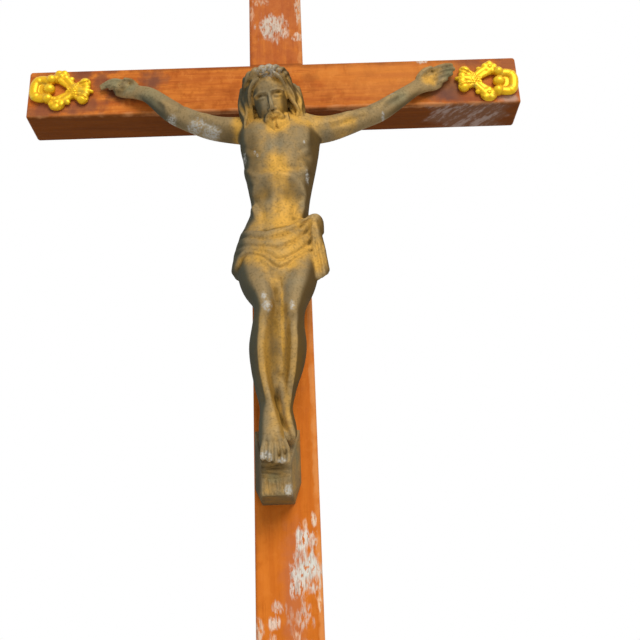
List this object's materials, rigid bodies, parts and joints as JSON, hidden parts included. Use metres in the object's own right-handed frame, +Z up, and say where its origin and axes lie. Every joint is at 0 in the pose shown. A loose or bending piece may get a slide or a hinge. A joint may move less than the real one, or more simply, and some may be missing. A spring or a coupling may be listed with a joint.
{
  "type": "wall crucifix",
  "caption": "Wooden wall crucifix with a half-lapped cross, a cast bronzed figure on a wedge footrest, gilt openwork end ornaments and a hanging ring that swings in a screw eye.",
  "frame": {"origin": "middle of the crossing on the flat back face, the face that lies on the wall", "axes": "+Z up along the post, +X to the viewer's right along the crossbar, +Y into the wall; the front faces -Y"},
  "size_m": [0.1222, 0.0292, 0.2325],
  "materials": {
    "varnished_wood": "worn reddish varnish",
    "steel": "dull",
    "bronzed_casting": "bronzed, worn bright on high spots",
    "bronzed_nails": "bronzed",
    "gilt_casting": "bright gilt",
    "brass_wire": "drawn wire"
  },
  "bodies": {
    "cross": {"post": "varnished_wood", "crossbar": "varnished_wood", "lap_brads": "steel", "corpus_body": "bronzed_casting", "corpus_right_arm": "bronzed_casting", "corpus_left_arm": "bronzed_casting", "footrest": "bronzed_casting", "hand_nails": "bronzed_nails", "foot_nail": "bronzed_nails", "end_ornament_left": "gilt_casting", "end_ornament_right": "gilt_casting", "end_ornament_top": "gilt_casting", "end_ornament_bottom": "gilt_casting", "screw_eye": "brass_wire"},
    "ring": {"hanging_ring": "brass_wire"}
  },
  "joints": [
    {"name": "ring_swing", "type": "hinge", "parent": "cross", "child": "ring", "pos_m": [0, -0.0052, 0.06], "axis": [1, 0, 0], "range_deg": [-110, 110]}
  ]
}
